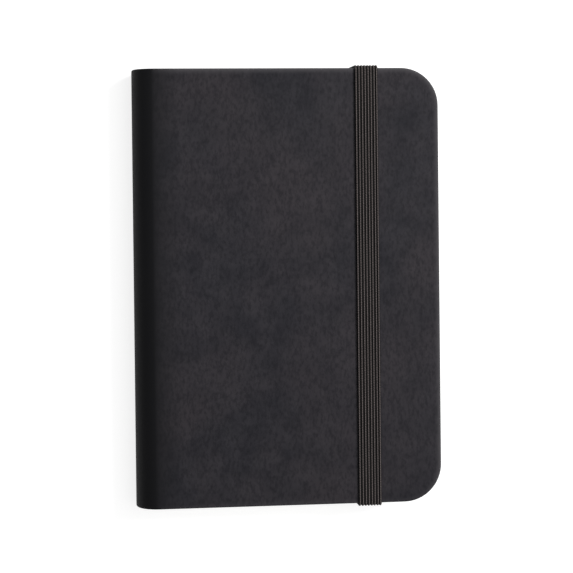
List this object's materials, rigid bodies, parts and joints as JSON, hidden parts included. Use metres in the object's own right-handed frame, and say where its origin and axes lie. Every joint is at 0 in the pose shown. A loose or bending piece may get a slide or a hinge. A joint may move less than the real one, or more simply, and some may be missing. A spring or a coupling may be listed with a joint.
{
  "type": "pocket notebook",
  "caption": "Pocket notebook in a soft dark leather-covered hard case with a rounded spine, sewn ruled sections, and a ribbed elastic band that holds it shut.",
  "frame": {"origin": "middle of the back cover's outer face, which the closed book rests on", "axes": "+Z out of the front cover, +Y towards the head of the book along its height, +X from the spine to the fore-edge"},
  "size_m": [0.0772, 0.1114, 0.0131],
  "materials": {
    "cover_leather": "matt suede-like imitation leather, very dark grey, fine mottled grain",
    "board": "grey bookbinding board",
    "endpaper": "heavy ivory paper",
    "page_paper": "ivory writing paper with faint ruled lines",
    "thread": "waxed linen thread",
    "mull": "open gauze",
    "lining_paper": "brown kraft paper",
    "band_cloth": "striped woven band",
    "elastic": "ribbed woven elastic, dark warm grey"
  },
  "bodies": {
    "book": {"back_cover_leather": "cover_leather", "back_cover_board": "board", "rear_pastedown": "endpaper", "spine_leather": "cover_leather", "spine_inlay": "board", "rear_flyleaf": "endpaper", "section_01": "page_paper", "section_02": "page_paper", "section_03": "page_paper", "section_04": "page_paper", "section_05": "page_paper", "section_06": "page_paper", "section_07": "page_paper", "section_08": "page_paper", "section_09": "page_paper", "section_10": "page_paper", "sewing_thread": "thread", "mull": "mull", "spine_lining": "lining_paper", "head_band": "band_cloth", "tail_band": "band_cloth", "elastic_ends": "elastic"},
    "front_cover": {"front_cover_leather": "cover_leather", "front_cover_board": "board", "front_pastedown": "endpaper"},
    "flyleaf": {"front_flyleaf": "endpaper"},
    "page_1": {"leaf_1": "page_paper"},
    "page_2": {"leaf_2": "page_paper"},
    "page_3": {"leaf_3": "page_paper"},
    "page_4": {"leaf_4": "page_paper"},
    "elastic": {"elastic_band": "elastic"}
  },
  "joints": [
    {"name": "front_cover_hinge", "type": "hinge", "parent": "book", "child": "front_cover", "pos_m": [-0.03533, 0, 0.01201], "axis": [0, -1, 0], "range_deg": [0, 179]},
    {"name": "flyleaf_turn", "type": "hinge", "parent": "book", "child": "flyleaf", "pos_m": [-0.03533, 0, 0.01201], "axis": [0, -1, 0], "range_deg": [0, 175.43]},
    {"name": "page_1_turn", "type": "hinge", "parent": "book", "child": "page_1", "pos_m": [-0.03533, 0, 0.01201], "axis": [0, -1, 0], "range_deg": [0, 171.85]},
    {"name": "page_2_turn", "type": "hinge", "parent": "book", "child": "page_2", "pos_m": [-0.03533, 0, 0.01201], "axis": [0, -1, 0], "range_deg": [0, 167.38]},
    {"name": "page_3_turn", "type": "hinge", "parent": "book", "child": "page_3", "pos_m": [-0.03533, 0, 0.01201], "axis": [0, -1, 0], "range_deg": [0, 161.11]},
    {"name": "page_4_turn", "type": "hinge", "parent": "book", "child": "page_4", "pos_m": [-0.03533, 0, 0.01201], "axis": [0, -1, 0], "range_deg": [0, 152.16]},
    {"name": "elastic_pull", "type": "slide", "parent": "book", "child": "elastic", "axis": [1, 0, 0], "range_m": [0, 0.022], "stiffness_N_per_m": 80, "deforming": ["elastic_band"]}
  ],
  "couplings": [
    {"joint": "flyleaf_turn", "follows": "front_cover_hinge", "ratio": 0.98},
    {"joint": "page_1_turn", "follows": "front_cover_hinge", "ratio": 0.96},
    {"joint": "page_2_turn", "follows": "front_cover_hinge", "ratio": 0.935},
    {"joint": "page_3_turn", "follows": "front_cover_hinge", "ratio": 0.9},
    {"joint": "page_4_turn", "follows": "front_cover_hinge", "ratio": 0.85}
  ]
}
